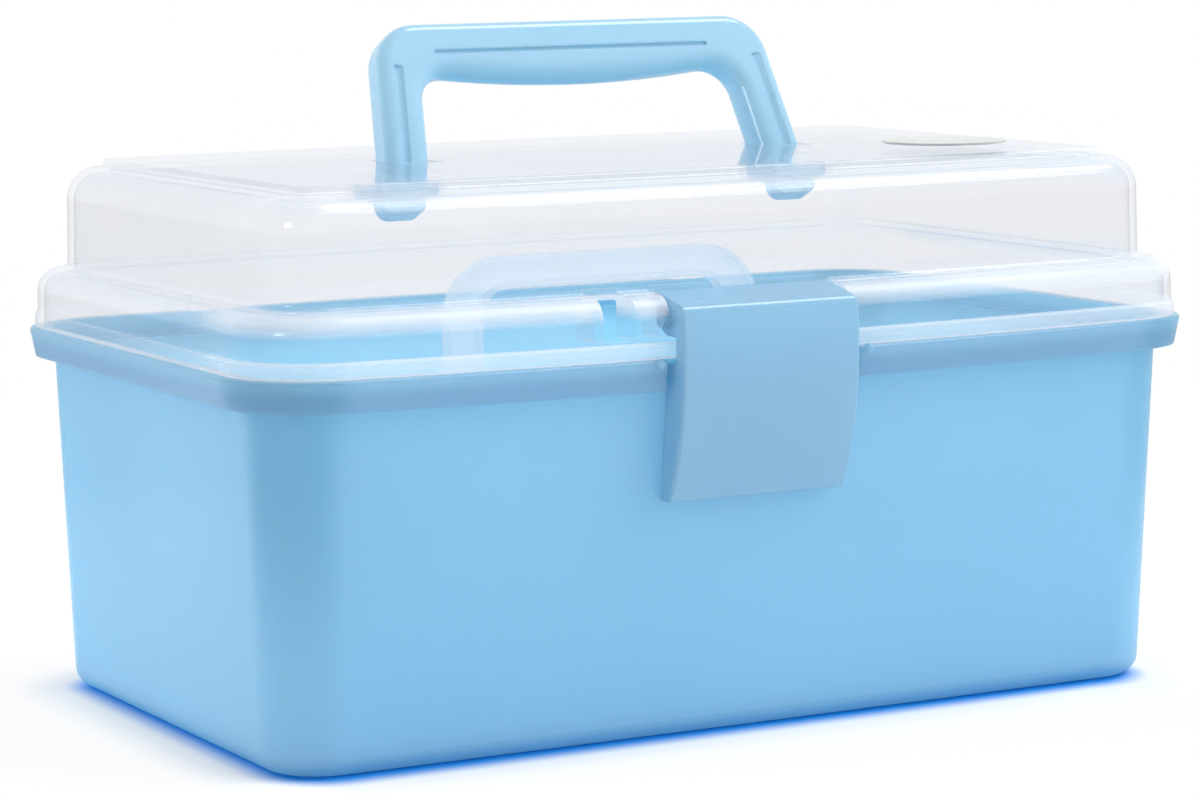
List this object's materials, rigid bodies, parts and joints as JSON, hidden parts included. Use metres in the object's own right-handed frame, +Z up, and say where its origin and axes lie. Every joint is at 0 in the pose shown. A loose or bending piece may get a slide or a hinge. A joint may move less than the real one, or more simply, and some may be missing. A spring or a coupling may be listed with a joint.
{
  "type": "sewing box",
  "caption": "Rectangular plastic sewing box with a tapered body, clear domed lid hinged along the back, swinging carry handle, front latch and a lift-out tray inside.",
  "frame": {"origin": "middle of the underside, on the surface the box stands on", "axes": "+X along the long front to the right, -Y out of the front where the latch is, +Z up"},
  "size_m": [0.2698, 0.1855, 0.1733],
  "materials": {
    "blue_body": "satin translucent polypropylene",
    "clear_lid": "clear, glossy",
    "grey_disc": "satin, bare",
    "blue_latch": "satin",
    "blue_handle": "satin",
    "frosted_tray": "frosted clear",
    "frosted_handle": "frosted clear"
  },
  "bodies": {
    "box": {"box_body": "blue_body"},
    "lid": {"lid": "clear_lid", "lid_disc": "grey_disc"},
    "latch": {"front_latch": "blue_latch"},
    "handle": {"carry_handle": "blue_handle"},
    "tray": {"lift_out_tray": "frosted_tray", "tray_handle": "frosted_handle"}
  },
  "joints": [
    {"name": "lid_hinge", "type": "hinge", "parent": "box", "child": "lid", "pos_m": [0, 0.08528, 0.091], "axis": [-1, 0, 0], "range_deg": [0, 105]},
    {"name": "latch_swing", "type": "hinge", "parent": "lid", "child": "latch", "pos_m": [-0.0045, -0.087, 0.1052], "axis": [-1, 0, 0], "range_deg": [0, 90]},
    {"name": "handle_swing", "type": "hinge", "parent": "lid", "child": "handle", "pos_m": [0, 0.0021, 0.1325], "axis": [1, 0, 0], "range_deg": [0, 48]},
    {"name": "tray_lift", "type": "slide", "parent": "box", "child": "tray", "axis": [0, 0, 1], "range_m": [0, 0.0065]}
  ]
}
